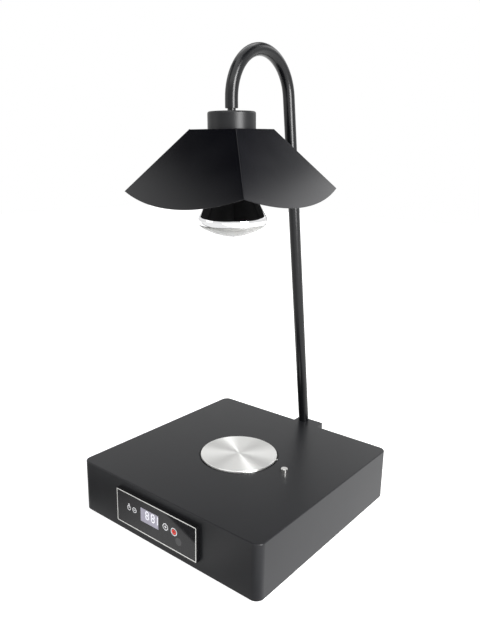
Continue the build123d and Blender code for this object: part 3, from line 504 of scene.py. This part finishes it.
class Plate:
    """A thin flat drawing on the panel, gathered shape by shape."""

    def __init__(self, name, finish, slot, lift=0.0):
        self.name, self.finish, self.slot = name, finish, slot
        self.lift = lift
        self.mesh = bmesh.new()

    def spot(self, x, y, depth):
        """A point on the panel: x and y in millimetres from the panel's middle."""
        return Vector((glass_middle.x + mm(x), glass_front - depth - self.lift, glass_middle.z + mm(y)))

    def outline(self, points):
        """A filled outline, given anticlockwise as seen from the front."""
        front, back = [[self.mesh.verts.new(self.spot(x, y, depth)) for x, y in points]
                       for depth in (mark_height, 0.0)]
        self.mesh.faces.new(front)
        self.mesh.faces.new(back[::-1])
        for here in range(len(front)):
            after = (here + 1) % len(front)
            self.mesh.faces.new((front[after], front[here], back[here], back[after]))

    def bar(self, x0, y0, x1, y1):
        self.outline([(x0, y0), (x1, y0), (x1, y1), (x0, y1)])

    def disc(self, x, y, radius):
        self.outline([(x + radius * math.cos(t), y + radius * math.sin(t)) for t in turns()])

    def arc(self, x, y, outer, inner, start=0.0, end=full_turn):
        """A ring or part of one, drawn as a closed strip."""
        whole = end - start >= full_turn
        steps = rim_steps if whole else max(least_steps, round(rim_steps * (end - start) / full_turn))
        count = steps if whole else steps + 1
        angles = [math.radians(start + (end - start) * i / steps) for i in range(count)]
        corners = ((outer, mark_height), (inner, mark_height), (inner, 0.0), (outer, 0.0))
        strips = [[self.mesh.verts.new(self.spot(x + r * math.cos(t), y + r * math.sin(t), depth))
                   for t in angles] for r, depth in corners]
        for i in range(steps):
            j = (i + 1) % count
            for a in range(len(corners)):
                b = (a + 1) % len(corners)
                self.mesh.faces.new((strips[a][i], strips[a][j], strips[b][j], strips[b][i]))
        if not whole:
            self.mesh.faces.new([strip[0] for strip in strips])
            self.mesh.faces.new([strip[-1] for strip in strips][::-1])

    def finished(self):
        return add_piece(self.name, self.mesh, self.finish, self.slot, "base")


print("Plate:", Plate.__doc__)

# %% [markdown]
# The marks' places are measured on the panel, in millimetres from its middle. White print has a slightly
# uneven edge-to-edge tone, and the lit red and lilac glow a little, because a lamp stands behind them.

# %% Prints and lit windows
def lit(name, colour, glow, roughness=0.35, change=0.12):
    """Print or glass with a lamp behind it."""
    return plain(name, colour, roughness, grain=900.0, change=change, depth=0.003,
                 Emission_Color=(*colour, 1.0), Emission_Strength=glow)


white_print = lit("white_print", (0.72, 0.72, 0.74), 0.25)
red_print = lit("red_print", (0.78, 0.035, 0.02), 0.25)
window_grey = plain("remote_window", (0.05, 0.05, 0.052), 0.12, grain=60.0, change=0.1, depth=0.002)
display_lilac = lit("display_window", (0.36, 0.345, 0.42), 0.2, roughness=0.3)
digit_white = lit("display_digits", (0.85, 0.85, 0.9), 0.3, roughness=0.3, change=0.04)
inks = (white_print, red_print, window_grey, display_lilac, digit_white)
print("prints:", ", ".join(ink.material.name for ink in inks))

# %% White marks
mark_row = 5.0
minus_row, plus_row, power_row = mark_row, mark_row - 0.4, mark_row - 1.3
timer_x, minus_x, plus_x, power_x = -66.3, -51.8, 27.1, 47.7
timer_ring, timer_loop, timer_hand = (4.8, 3.5), (2.2, 1.0), 0.7
timer_ring_y, timer_loop_y = mark_row - 0.8, mark_row + 5.6
hand_low, hand_high = mark_row - 1.4, mark_row + 1.8
minus_ring, minus_reach, minus_half = (5.3, 4.0), 2.4, 0.7
plus_ring, plus_reach, plus_half = (6.6, 5.1), 2.8, 0.8
power_ring = (7.4, 5.8)

white_marks = Plate("panel_marks_white", white_print, "display")
white_marks.arc(timer_x, timer_ring_y, *timer_ring)
white_marks.arc(timer_x, timer_loop_y, *timer_loop)
white_marks.bar(timer_x - timer_hand, hand_low, timer_x + timer_hand, hand_high)
white_marks.arc(minus_x, minus_row, *minus_ring)
white_marks.bar(minus_x - minus_reach, minus_row - minus_half,
                minus_x + minus_reach, minus_row + minus_half)
white_marks.arc(plus_x, plus_row, *plus_ring)
white_marks.bar(plus_x - plus_reach, plus_row - plus_half, plus_x + plus_reach, plus_row + plus_half)
white_marks.bar(plus_x - plus_half, plus_row - plus_reach, plus_x + plus_half, plus_row - plus_half)
white_marks.bar(plus_x - plus_half, plus_row + plus_half, plus_x + plus_half, plus_row + plus_reach)
white_marks.arc(power_x, power_row, *power_ring)
white_marks.finished()

# %% [markdown]
# The power mark is an open ring with a bar in its gap, in red, inside the white ring. The remote
# control's window and the display are plain areas of paler glass.

# %% Power mark and windows
power_loop, power_start, power_end = (4.7, 2.2), 125.0, 415.0
power_half, power_foot, power_tip = 1.1, 0.6, 5.0
power = Plate("panel_mark_power", red_print, "display")
power.arc(power_x, power_row, *power_loop, power_start, power_end)
power.bar(power_x - power_half, power_row + power_foot, power_x + power_half, power_row + power_tip)
power.finished()

remote_x, remote_y, remote_radius = 58.2, -10.9, 7.2
remote = Plate("panel_remote_window", window_grey, "touch_glass")
remote.disc(remote_x, remote_y, remote_radius)
remote.finished()

window_left, window_right, window_low, window_high = -35.4, 9.7, -8.8, 17.8
window = Plate("panel_display_window", display_lilac, "display")
window.bar(window_left, window_low, window_right, window_high)
window.finished()

# %% [markdown]
# Each digit is seven bars with pointed ends, and for an eight all seven are lit. Their tips are cut at
# 45 degrees, so that two bars meet in a fine dark gap, as on every such display.

# %% Digits
digit_height, digit_width, bar_width, bar_gap = 17.0, 9.2, 2.3, 0.35
digit_row = 7.4
digit_middles = (-18.4, -4.0)
side_bar_x = window_right - 1.9


def segment(plate, x, y, length, upright):
    """One bar with pointed ends, centred on x and y."""
    half_length, half_width = length / 2, bar_width / 2
    shoulder = half_length - half_width
    along = [(-half_length, 0), (-shoulder, -half_width), (shoulder, -half_width),
             (half_length, 0), (shoulder, half_width), (-shoulder, half_width)]
    turned = [(-b, a) for a, b in along] if upright else along
    plate.outline([(x + a, y + b) for a, b in turned])


def digit(plate, x, y):
    """A lit eight, centred on x and y."""
    wide = digit_width - bar_width
    tall = (digit_height - bar_width) / 2
    for level in (-1, 0, 1):
        segment(plate, x, y + level * tall, wide - bar_gap, False)
    for side in (-1, 1):
        for level in (-1, 1):
            segment(plate, x + side * wide / 2, y + level * tall / 2, tall - bar_gap, True)


digits = Plate("panel_digits", digit_white, "display", mark_height)
for middle in digit_middles:
    digit(digits, middle, digit_row)
segment(digits, side_bar_x, digit_row, digit_height, True)
digits.finished()

# %% [markdown]
# ## The shade
#
# The shade is one sheet of steel, folded along four creases and closed with a weld. A crease in sheet
# isn't a knife edge: it is a small bend, and along it a thin line of light runs. The sheet's cut edge is
# a little rounded by its coat too. The construction has plain folds, so a new shade is built on the same
# planes: four panels share their crease lines, and each ends in an arc, the hem.

# %% Shade sizes
swivel = next(joint for joint in frame["joints"] if joint["name"] == "head_swivel")
head_place = Vector(swivel["pos_m"])
head_tilt = math.atan2(-swivel["axis"][1], swivel["axis"][2])
to_head = Matrix.Translation(head_place) @ Matrix.Rotation(head_tilt, 4, "X")
shade_corner = 184.0
shade_top_half, shade_low_half, shade_drop = mm(50.9), mm(shade_corner / math.sqrt(2)), mm(99.8)
shade_bulge, shade_hole = mm(27.0), mm(20.3)
panel_steps, slope_steps = 40, 10
run = shade_low_half - shade_top_half
slope = math.hypot(run, shade_drop)
print("shade: slope", round(slope, 4), "m, head tilted", round(math.degrees(head_tilt), 2), "degrees")

# %% [markdown]
# One panel is a flat trapezium that widens from the top's fold to the creases' ends, with an arc added
# below. Its points are found in the head's own axes, turned by a quarter for each panel, and then moved
# to the tilted head.

# %% Points of a panel
def hem_reach(across):
    """How far down the slope the hem lies, at a place across the panel."""
    radius = (shade_low_half ** 2 + shade_bulge ** 2) / (2 * shade_bulge)
    return slope + shade_bulge - radius + math.sqrt(radius ** 2 - across ** 2)


def panel_point(quarter, across, down):
    """A point of one panel: across is -1 to 1 between its creases, down is 0 to 1 from fold to hem."""
    low = across * shade_low_half
    share = hem_reach(low) / slope
    length = down * share
    half_width = shade_top_half + run * down
    x = across * half_width
    out = shade_top_half + run * length
    point = Vector((x, -out, -shade_drop * length))
    return to_head @ (Matrix.Rotation(quarter * math.pi / 2, 4, "Z") @ point)


def top_point(radius, angle):
    """A point of the shade's flat top."""
    return to_head @ Vector((radius * math.cos(angle), radius * math.sin(angle), 0))


print("hem: at the crease", round(hem_reach(shade_low_half), 4), "m, in the middle", round(hem_reach(0), 4))

# %% [markdown]
# Four such grids and a flat top with its hole make the sheet. Where two panels share a crease their
# points fall together and are merged, so that the bevel later finds one edge there and not two.

# %% Shade panels and top
shade_mesh = bmesh.new()
for quarter in range(4):
    grid = [[shade_mesh.verts.new(panel_point(quarter, 2 * i / panel_steps - 1, j / slope_steps))
             for i in range(panel_steps + 1)] for j in range(slope_steps + 1)]
    for j in range(slope_steps):
        for i in range(panel_steps):
            shade_mesh.faces.new((grid[j][i], grid[j + 1][i], grid[j + 1][i + 1], grid[j][i + 1]))
top_angles = turns(4 * panel_steps)
hole = [shade_mesh.verts.new(top_point(shade_hole, t)) for t in top_angles]
rim = []
for t in top_angles:
    reach = shade_top_half / max(abs(math.cos(t)), abs(math.sin(t)))
    rim.append(shade_mesh.verts.new(top_point(reach, t)))
for i in range(len(hole)):
    j = (i + 1) % len(hole)
    shade_mesh.faces.new((hole[i], rim[i], rim[j], hole[j]))
bmesh.ops.remove_doubles(shade_mesh, verts=shade_mesh.verts, dist=mm(0.05))
shade = add_piece("shade_folded_sheet", shade_mesh, shade_coat, "painted_shade", "lamp_head", smooth=True)
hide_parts("shade")

# %% [markdown]
# A solidify modifier gives the sheet its thickness and puts the matt lining on its inner side. A bevel
# rounds creases and edges, and weighted normals keep the flat panels flat beside them.

# %% Sheet thickness and folds
shade_sheet, fold_round = mm(1.2), mm(0.9)
fold_steps, fold_angle = 3, math.radians(25)
shade.data.materials.append(shade_lining.material)
sheet = shade.modifiers.new("sheet_thickness", "SOLIDIFY")
sheet.thickness = shade_sheet
sheet.offset = -1
sheet.material_offset = 1
round_folds = shade.modifiers.new("rounded_folds", "BEVEL")
round_folds.width = fold_round
round_folds.segments = fold_steps
round_folds.limit_method = "ANGLE"
round_folds.angle_limit = fold_angle
even_light = shade.modifiers.new("even_light", "WEIGHTED_NORMAL")
even_light.keep_sharp = False
print("sheet:", round(1000 * shade_sheet, 2), "mm thick, folds rounded by", round(1000 * fold_round, 2), "mm")

# %% [markdown]
# ## The reflector bulb
#
# A reflector bulb is blown glass with a thin layer of aluminium inside, from its neck to just below its
# widest ring. Seen from outside that part is a mirror, so it shows the black shade above and the white
# room beside it. The face under it is bare and lightly frosted. The mirror and the face are two lathe
# shapes on one outline, which is made of arcs through three known points each.

# %% Bulb outline
bulb_radius, bulb_widest, bulb_length = mm(60.5), mm(151.8), mm(181.0)
throat = (mm(22.0), mm(68.0))
neck = (mm(19.5), mm(38.0))
flare_end = (bulb_radius - mm(2.7), bulb_widest - mm(9.3))
flare_width, flare_height, face_width = 0.58, 0.446, 0.55
flare_middle = (bulb_radius * flare_width, (bulb_widest + throat[1]) * flare_height)
shoulder_end = (bulb_radius - mm(6.2), bulb_widest + mm(11.2))
face_middle = (bulb_radius * face_width, bulb_length - mm(7.9))
tip_edge = (mm(6.0), bulb_length - mm(1.3))
tip_shoulder = (mm(3.0), bulb_length - mm(0.3))
flare_steps, ring_steps, face_steps, mirror_end = 28, 16, 20, 12


def arc_through(first, middle, last, steps):
    """Points of the circle through three points, from the first to the last."""
    ax, ay = first
    bx, by = middle
    cx, cy = last
    first_square, middle_square, last_square = ax**2 + ay**2, bx**2 + by**2, cx**2 + cy**2
    spread = 2 * (ax * (by - cy) + bx * (cy - ay) + cx * (ay - by))
    centre_x = (first_square * (by - cy) + middle_square * (cy - ay) + last_square * (ay - by)) / spread
    centre_y = (first_square * (cx - bx) + middle_square * (ax - cx) + last_square * (bx - ax)) / spread
    radius = math.hypot(ax - centre_x, ay - centre_y)
    start = math.atan2(ay - centre_y, ax - centre_x)
    turn = (math.atan2(cy - centre_y, cx - centre_x) - start) % math.tau
    half_turn = (math.atan2(by - centre_y, bx - centre_x) - start) % math.tau
    if half_turn > turn:
        turn -= math.tau
    angles = [start + turn * i / steps for i in range(steps + 1)]
    return [(centre_x + radius * math.cos(angle), centre_y + radius * math.sin(angle)) for angle in angles]


widest_ring = arc_through(flare_end, (bulb_radius, bulb_widest), shoulder_end, ring_steps)
mirror_outline = [neck] + arc_through(throat, flare_middle, flare_end, flare_steps)
mirror_outline += widest_ring[1:mirror_end + 1]
face_outline = widest_ring[mirror_end:] + arc_through(shoulder_end, face_middle, tip_edge, face_steps)[1:]
face_outline += [tip_shoulder, (0.0, bulb_length)]
print("bulb outline:", len(mirror_outline), "points of mirror,", len(face_outline), "of face")

# %% [markdown]
# Blown glass is round, so an outline that is turned about the bulb's axis gives its shape. A row of
# points is made for each point of the outline, and faces join each row to the next. Where the outline
# meets the axis, at the face's tip, the row is a single point.

# %% Lathe
lathe_steps = 96
on_axis = mm(0.01)


def lathe(name, outline, finish, slot, body, thickness=0.0):
    """Turns an outline of (radius, depth below the shade's top) about the head's axis."""
    mesh = bmesh.new()
    rows = []
    for radius, depth in outline:
        count = 1 if radius < on_axis else lathe_steps
        rows.append([mesh.verts.new(to_head @ Vector((radius * math.cos(t), radius * math.sin(t), -depth)))
                     for t in turns(lathe_steps)[:count]])
    for upper, lower in zip(rows, rows[1:]):
        for i in range(lathe_steps):
            j = (i + 1) % lathe_steps
            if len(lower) == 1:
                mesh.faces.new((upper[i], lower[0], upper[j]))
            else:
                mesh.faces.new((upper[i], lower[i], lower[j], upper[j]))
    piece = add_piece(name, mesh, finish, slot, body, smooth=True)
    if thickness:
        wall = piece.modifiers.new("glass_wall", "SOLIDIFY")
        wall.thickness = thickness
        wall.offset = -1
    return piece


print("lathe: one turn in", lathe_steps, "steps")

# %% [markdown]
# The mirror is nearly perfect, with the faint waviness of blown glass. The face mixes a glossy skin with
# see-through glass and a soft pale frost that runs in faint spokes towards the tip.

# %% Bulb finishes
wave_scale, wave_depth, wave_strength = 26.0, mm(0.5), 0.02
mirror_coat = Finish("bulb_mirror", (0.86, 0.86, 0.87), 0.05, 1.0)
mirror_coat.bump(mirror_coat.noise(mirror_coat.place(), wave_scale), wave_depth, wave_strength)

spoke_scale, spoke_detail, frost_scale, frost_detail = 18.0, 4.0, 700.0, 3.0
frost_share, frost_depth, frost_strength = 0.3, mm(0.25), 0.5
darker_frost, paler_frost = (0.33, 0.33, 0.317), (0.56, 0.56, 0.543)
cover, cover_change = 0.75, 0.4
face_glass = Finish("bulb_face_glass", paler_frost, 0.16, Coat_Weight=0.3, Coat_Roughness=0.05)
face_place = face_glass.node("ShaderNodeMapping", {"vector_type": "POINT"},
                             {"Vector": face_glass.place(), "Location": tuple(-head_place)})
face_x, face_y = face_glass.split(face_place)[:2]
spokes = face_glass.noise_line(face_x.maths("ARCTAN2", face_y) * spoke_scale, spoke_detail)
frost = face_glass.noise(face_place, frost_scale, frost_detail)
face_glass.set("Base Color", face_glass.between(darker_frost, paler_frost, spokes))
face_glass.set("Alpha", cover + (spokes - noise_middle) * cover_change)
face_glass.bump(frost * frost_share + spokes, frost_depth, frost_strength)

lathe("bulb_mirror_shell", mirror_outline, mirror_coat, "bulb_glass", "lamp_head")
face = lathe("bulb_clear_face", face_outline, face_glass, "bulb_glass", "lamp_head", thickness=mm(1.0))
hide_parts("bulb_glass")

wire_metal = plain("filament_metal", (0.3, 0.3, 0.31), 0.3, 1.0)
dress(wire_metal, "bulb_filament")

# %% [markdown]
# ## Floor
#
# The catalogue picture stands on white with no horizon. Turning lamps up until everything clips would
# bleach the object, so the white is told apart by who looks: a camera ray that meets the floor or the
# sky sees plain white, while the light that falls on the object stays at an ordinary level.

# %% Floor
floor_reach = 6.0
floor_mesh = bmesh.new()
bmesh.ops.create_grid(floor_mesh, x_segments=1, y_segments=1, size=floor_reach)
floor_data = bpy.data.meshes.new("studio_floor")
floor_mesh.to_mesh(floor_data)
floor_mesh.free()
floor = bpy.data.objects.new("studio_floor", floor_data)
scene.collection.objects.link(floor)
floor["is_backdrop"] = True
print("floor:", 2 * floor_reach, "m wide")

# %% [markdown]
# The black coat and the dark glass show what they mirror, and the upright faces mirror the floor. So
# the floor's brightness for glossy rays is painted from place to place, as painted reflections. The
# base's front face mirrors the strip before it: dim at the left, full in the middle, lower beside the
# panel and up again at the corner; the dim left and the lower strip by the base's foot are painted
# shade. The glass mirrors a strip farther out, where a painted dark patch lies, and the patch's
# slanting edge draws the dark wedge at the glass's right end. The right face mirrors a brighter floor.

# %% What glossy rays see of the floor
floor_tone = (0.62, 0.62, 0.62)
floor_finish = Finish("studio_floor", floor_tone, 0.9)
spot = floor_finish.place()
spot_x, spot_y = floor_finish.split(spot)[:2]


def rising(value, low, high):
    """0 below low, 1 above high and a straight rise between them."""
    return ((value - low) * (1.0 / (high - low))).clamped()


def moved(level, goal, share):
    """A level moved towards a goal by a share."""
    return level + (goal - level) * share


# The low levels at the left and by the base's foot are painted shade in what glossy rays see of the floor.
left_shade_level, middle_gain, panel_loss, corner_gain = 0.2, 0.8, 0.4, 0.35
foot_shade_level, far_level, side_level = 0.68, 1.0, 1.5
left_strip, panel_strip, corner_strip = (-0.25, -0.06), (0.08, 0.13), (0.2, 0.26)
foot_strip, far_strip = (-0.262, -0.238), (0.345, 0.37)
back_strip, side_strip = (-0.235, -0.2), (0.24, 0.34)
front_floor = left_shade_level + rising(spot_x, *left_strip) * middle_gain
front_floor = front_floor - rising(spot_x, *panel_strip) * panel_loss
front_floor = front_floor + rising(spot_x, *corner_strip) * corner_gain
# Painted shade on the floor strip by the base's foot.
front_floor = moved(front_floor, foot_shade_level, rising(spot_y, *foot_strip))
front_floor = moved(front_floor, far_level, rising(-1.0 * spot_y, *far_strip))
beside_base = rising(spot_y, *back_strip).maths("MAXIMUM", rising(spot_x, *side_strip))
open_floor = moved(front_floor, side_level, beside_base)
print("floor levels:", left_shade_level, "to", side_level)

# %% [markdown]
# The painted dark patch is where four conditions meet, so their masks are multiplied. Then three kinds of ray
# get three
# answers: the camera sees white, glossy rays see the levels above, and rays through glass see a grey.

# %% Painted dark patch and floor finish
# A dark patch painted into the floor's glow for glossy rays; its dark wedge in the glass is a painted
# reflection.
patch_line, patch_slant, patch_edge = -0.302, 0.3, 0.004
patch_left, patch_right, patch_far, patch_darkness = -0.085, 0.03, -0.336, 0.85
past_line = rising(patch_line + spot_x * patch_slant - spot_y, 0.0, patch_edge)
painted_dark_patch = past_line * (spot_x > patch_left) * (spot_x < patch_right) * (spot_y > patch_far)
mirrored_floor = open_floor * (1.0 - painted_dark_patch * patch_darkness)

white = (1.0, 1.0, 1.0)
ray_names = ("Is Camera Ray", "Is Glossy Ray", "Is Transmission Ray")
near_white, far_gain, fade_start, fade_rate, through_level = 0.8, 0.3, 0.3, 2.0, 0.35
is_camera, is_glossy, is_through = floor_finish.ray_kinds(*ray_names)
distance = floor_finish.node("ShaderNodeVectorMath", {"operation": "LENGTH"}, {0: spot}, take="Value")
far_away = ((distance - fade_start) * fade_rate).clamped()
seen_white = is_camera * (near_white + far_away * far_gain)
seen_floor = seen_white + is_glossy * mirrored_floor + is_through * through_level
glow = floor_finish.node("ShaderNodeEmission", inputs={"Color": (*white, 1.0), "Strength": seen_floor})
matt = floor_finish.node("ShaderNodeBsdfDiffuse", inputs={"Color": (*floor_tone, 1.0)})
lit_floor = floor_finish.node("ShaderNodeAddShader", inputs={0: glow, 1: matt})
whole_floor = floor_finish.node("ShaderNodeMixShader", inputs={0: is_glossy, 1: lit_floor, 2: glow})
floor_finish.feed(floor_finish.output.inputs["Surface"], whole_floor)
floor_data.materials.append(floor_finish.material)
# The patch printed here is the painted dark patch in the floor's reflection.
print("dark card from", patch_left, "to", patch_right, "m")

# %% [markdown]
# ## Sky
#
# Glossy rays see a room that is bright near the floor and dark overhead, as in a studio with a white
# cove and a black ceiling. In it hang lit cloths, whose soft edges fade across the shade's panels and
# fill the plate. Each cloth is named for what mirrors it, and stands at an azimuth and an elevation.

# %% Cloths
world = bpy.data.worlds.new("studio")
scene.world = world
world.use_nodes = True
sky = Graph(world.node_tree)
direction = sky.node("ShaderNodeTexCoord", take="Generated")
sky_x, sky_y, sky_z = sky.split(direction)
elevation = sky_z.maths("ARCSINE")
fade_middle = 0.5


def white_cloth(centre, half_width, side_fade, low, high, edge_fade, lean=0.0):
    """1 on a lit cloth that hangs in the studio, 0 round it. Azimuths and elevations are in degrees, and
    lean is how far its top edge falls for each degree round."""
    turn = math.radians(centre)
    ahead = sky_x * math.cos(turn) + sky_y * math.sin(turn)
    aside = sky_y * math.cos(turn) - sky_x * math.sin(turn)
    round_from_centre = aside.maths("ARCTAN2", ahead)
    away = round_from_centre.maths("ABSOLUTE")
    across = ((math.radians(half_width + side_fade) - away) / math.radians(side_fade)).clamped()
    level = elevation + round_from_centre * lean
    below = ((math.radians(high) - level) / math.radians(edge_fade) + fade_middle).clamped()
    above = ((elevation - math.radians(low)) / math.radians(edge_fade) + fade_middle).clamped()
    return across * below * above


print("sky nodes so far:", len(sky.tree.nodes))

# %% [markdown]
# The table gives each cloth its strength, then its azimuth, half its width, the fade at its sides, its
# lowest and highest elevation and the fade there. The plate is a blurred mirror with spokes, so it takes
# the most cloths: each one brightens the sector of the plate that looks at it.

# %% Sky
cloths = {
    "left panel": (1.12, white_cloth(200, 22, 8, 27, 42, 5, lean=-0.48)),
    "right panel": (1.95, white_cloth(70, 9, 7, 20, 40, 4, lean=1.0)),
    "base top, back": (0.6, white_cloth(98, 12.5, 12, 12, 33, 6)),
    "plate, back": (1.15, white_cloth(128, 36, 8, 47, 66, 5)),
    "plate, bright spoke": (0.2, white_cloth(118, 3, 1.5, 44, 60, 3)),
    "plate, second spoke": (0.3, white_cloth(148, 5, 3, 44, 54, 3)),
    "plate, front": (2.0, white_cloth(-62, 45, 12, 28, 76, 8)),
    "plate, left": (0.85, white_cloth(165, 12, 8, 32, 46, 5)),
    "plate, right": (1.25, white_cloth(85, 18, 8, 50, 66, 5)),
}
all_cloths = sum(strength * cloth for strength, cloth in cloths.values())
room_stops = [(0.0, 0.85), (0.2, 0.9), (0.32, 1.0), (0.42, 0.95), (0.5, 0.68), (0.56, 0.28),
              (0.62, 0.15), (0.68, 0.03), (0.75, 0.0)]
fill_level = 0.55
room = sky.node("ShaderNodeValToRGB", {"stops": room_stops}, {"Fac": sky_z}, take="Color")
bright_room = sky.node("ShaderNodeVectorMath", {"operation": "ADD"}, {0: room, 1: all_cloths})
is_camera, is_glossy, is_through = sky.ray_kinds(*ray_names)
plain_sky = sky.between((fill_level, fill_level, fill_level), bright_room, is_glossy)
whole_sky = sky.between(plain_sky, white, is_camera.maths("MAXIMUM", is_through))
background = world.node_tree.nodes["Background"]
sky.feed(background.inputs["Color"], whole_sky)
print("cloths for:", "; ".join(cloths))

# %% [markdown]
# ## Lamps
#
# Four soft lamps shape the object. The tall one on the right draws the long highlight down the arm and
# the cup. A small one above it carries that highlight a little way round the bend. A large one overhead
# and a weak one on the left keep the shadows soft.

# %% Lamps
def soft_lamp(name, place, target, width, height, watts):
    """A rectangular area lamp that points at a target."""
    data = bpy.data.lights.new(name, "AREA")
    data.shape = "RECTANGLE"
    data.size, data.size_y = width, height
    data.energy = watts
    lamp = bpy.data.objects.new(name, data)
    lamp.location = place
    lamp.rotation_euler = (Vector(target) - Vector(place)).to_track_quat("-Z", "Y").to_euler()
    scene.collection.objects.link(lamp)
    print(name, "of", watts, "W")


soft_lamp("right_strip", (2.1, -0.5, 1.0), (0, 0, 0.7), width=0.95, height=1.9, watts=95)
soft_lamp("high_right_box", (1.9, -0.1, 1.95), (0, 0, 0.75), width=0.5, height=0.5, watts=13)
soft_lamp("overhead_cloth", (-0.3, 0.2, 2.4), (0, 0, 0.3), width=1.6, height=1.6, watts=12)
soft_lamp("left_fill", (-1.6, -1.8, 1.0), (0, 0, 0.4), width=1.2, height=1.2, watts=3)

# %% [markdown]
# ## Sizes
#
# Both boxes are printed, the construction's and the dressed object's, so that they can be compared.
# The dressed object must stay inside the construction's box.

# %% Sizes
dressed_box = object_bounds()
for name, (low, high) in (("cad", cad_box), ("dressed", dressed_box)):
    print(name, [round(1000 * c, 1) for c in (*low, *high)])
